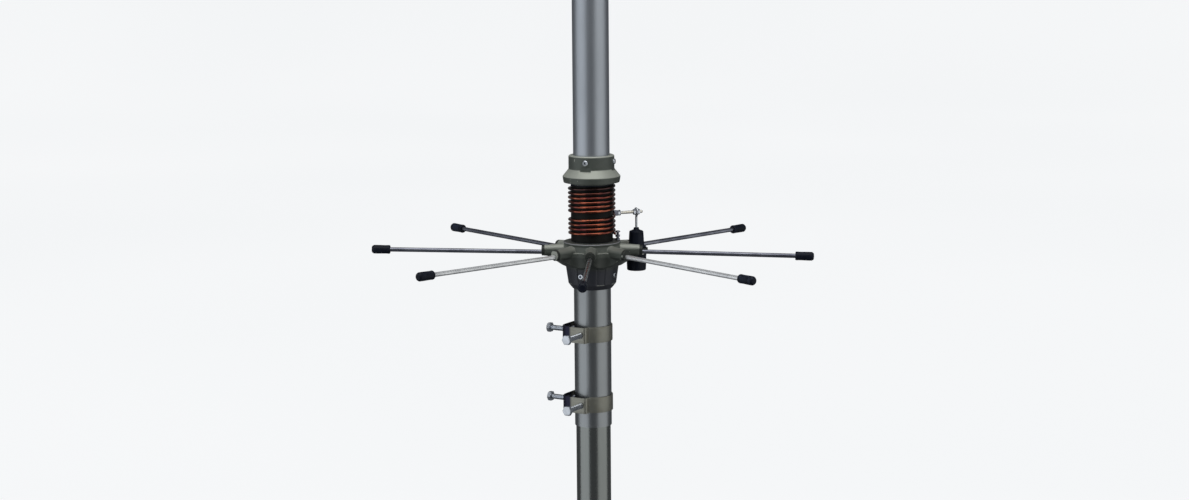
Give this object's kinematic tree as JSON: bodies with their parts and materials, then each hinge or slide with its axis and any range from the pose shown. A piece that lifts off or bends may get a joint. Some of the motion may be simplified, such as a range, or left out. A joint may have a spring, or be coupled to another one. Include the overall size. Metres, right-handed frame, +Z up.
{
  "type": "omnidirectional antenna",
  "caption": "Base section of a vertical omnidirectional antenna: clamped mast tube, hub with radial ground rods, wound matching coil, capped coaxial socket and upright radiator tube.",
  "frame": {"origin": "centre of the lower end of the mast tube", "axes": "+Z up along the mast and the radiator; +X along the first radial; the radials lie at whole multiples of 45 degrees; -Y is the front"},
  "size_m": [0.5, 0.5, 0.6],
  "materials": {
    "mast_alu": "satin drawn aluminium, dulled",
    "radiator_alu": "satin drawn aluminium, bluish",
    "casting": "die cast, olive grey passivated, slightly rough",
    "nylon": "turned black nylon",
    "core": "glass-fibre rod",
    "copper": "enamelled copper wire, glossy red-brown",
    "rubber": "moulded black rubber",
    "stainless": "polished stainless rod",
    "zinc": "bright zinc plate",
    "strap": "olive chromated strip steel",
    "brass": "nickel-plated brass",
    "ptfe": "PTFE"
  },
  "bodies": {
    "mast": {"mast_tube": "mast_alu"},
    "antenna_base": {"base_tube": "mast_alu", "hub_casting": "casting", "hub_set_screws": "zinc", "hub_gasket": "rubber", "coil_former": "nylon", "insulator_core": "core", "coil_wire": "copper", "coil_top_terminal": "zinc", "coil_ground_terminal": "zinc", "collar_gasket": "rubber", "upper_collar": "casting", "collar_set_screws": "zinc", "tap_clip": "brass", "tap_stud": "brass", "tap_nuts": "zinc", "link_rod": "brass", "connector_shell": "brass", "connector_nut": "zinc", "connector_insulator": "ptfe", "connector_contact": "brass", "radial_rod_1": "stainless", "radial_rod_2": "stainless", "radial_rod_3": "stainless", "radial_rod_4": "stainless", "radial_rod_5": "stainless", "radial_rod_6": "stainless", "radial_rod_7": "stainless", "radial_rod_8": "stainless", "radial_cap_1": "rubber", "radial_cap_2": "rubber", "radial_cap_3": "rubber", "radial_cap_4": "rubber", "radial_cap_5": "rubber", "radial_cap_6": "rubber", "radial_cap_7": "rubber", "radial_cap_8": "rubber", "upper_clamp_strap": "strap", "lower_clamp_strap": "strap", "clamp_nuts": "zinc"},
    "radiator": {"radiator_tube": "radiator_alu"},
    "connector_boot": {"connector_boot": "rubber"},
    "connector_cap": {"connector_cap": "rubber"},
    "upper_front_bolt": {"upper_front_bolt": "zinc"},
    "upper_left_bolt": {"upper_left_bolt": "zinc"},
    "lower_front_bolt": {"lower_front_bolt": "zinc"},
    "lower_left_bolt": {"lower_left_bolt": "zinc"}
  },
  "joints": [
    {"name": "mast_slide", "type": "slide", "parent": "mast", "child": "antenna_base", "axis": [0, 0, 1], "range_m": [-0.01, 0.02]},
    {"name": "radiator_slide", "type": "slide", "parent": "antenna_base", "child": "radiator", "axis": [0, 0, 1], "range_m": [0, 0.02]},
    {"name": "cap_pull", "type": "slide", "parent": "antenna_base", "child": "connector_cap", "axis": [0, 0, -1], "range_m": [0, 0.03]},
    {"name": "boot_lift", "type": "slide", "parent": "antenna_base", "child": "connector_boot", "axis": [0, 0, 1], "range_m": [0, 0.012]},
    {"name": "upper_front_bolt_screw", "type": "slide", "parent": "antenna_base", "child": "upper_front_bolt", "axis": [-0.4695, -0.8829, 0], "range_m": [0, 0.012]},
    {"name": "upper_left_bolt_screw", "type": "slide", "parent": "antenna_base", "child": "upper_left_bolt", "axis": [-0.8829, 0.4695, 0], "range_m": [0, 0.012]},
    {"name": "lower_front_bolt_screw", "type": "slide", "parent": "antenna_base", "child": "lower_front_bolt", "axis": [-0.4695, -0.8829, 0], "range_m": [0, 0.012]},
    {"name": "lower_left_bolt_screw", "type": "slide", "parent": "antenna_base", "child": "lower_left_bolt", "axis": [-0.8829, 0.4695, 0], "range_m": [0, 0.012]}
  ]
}
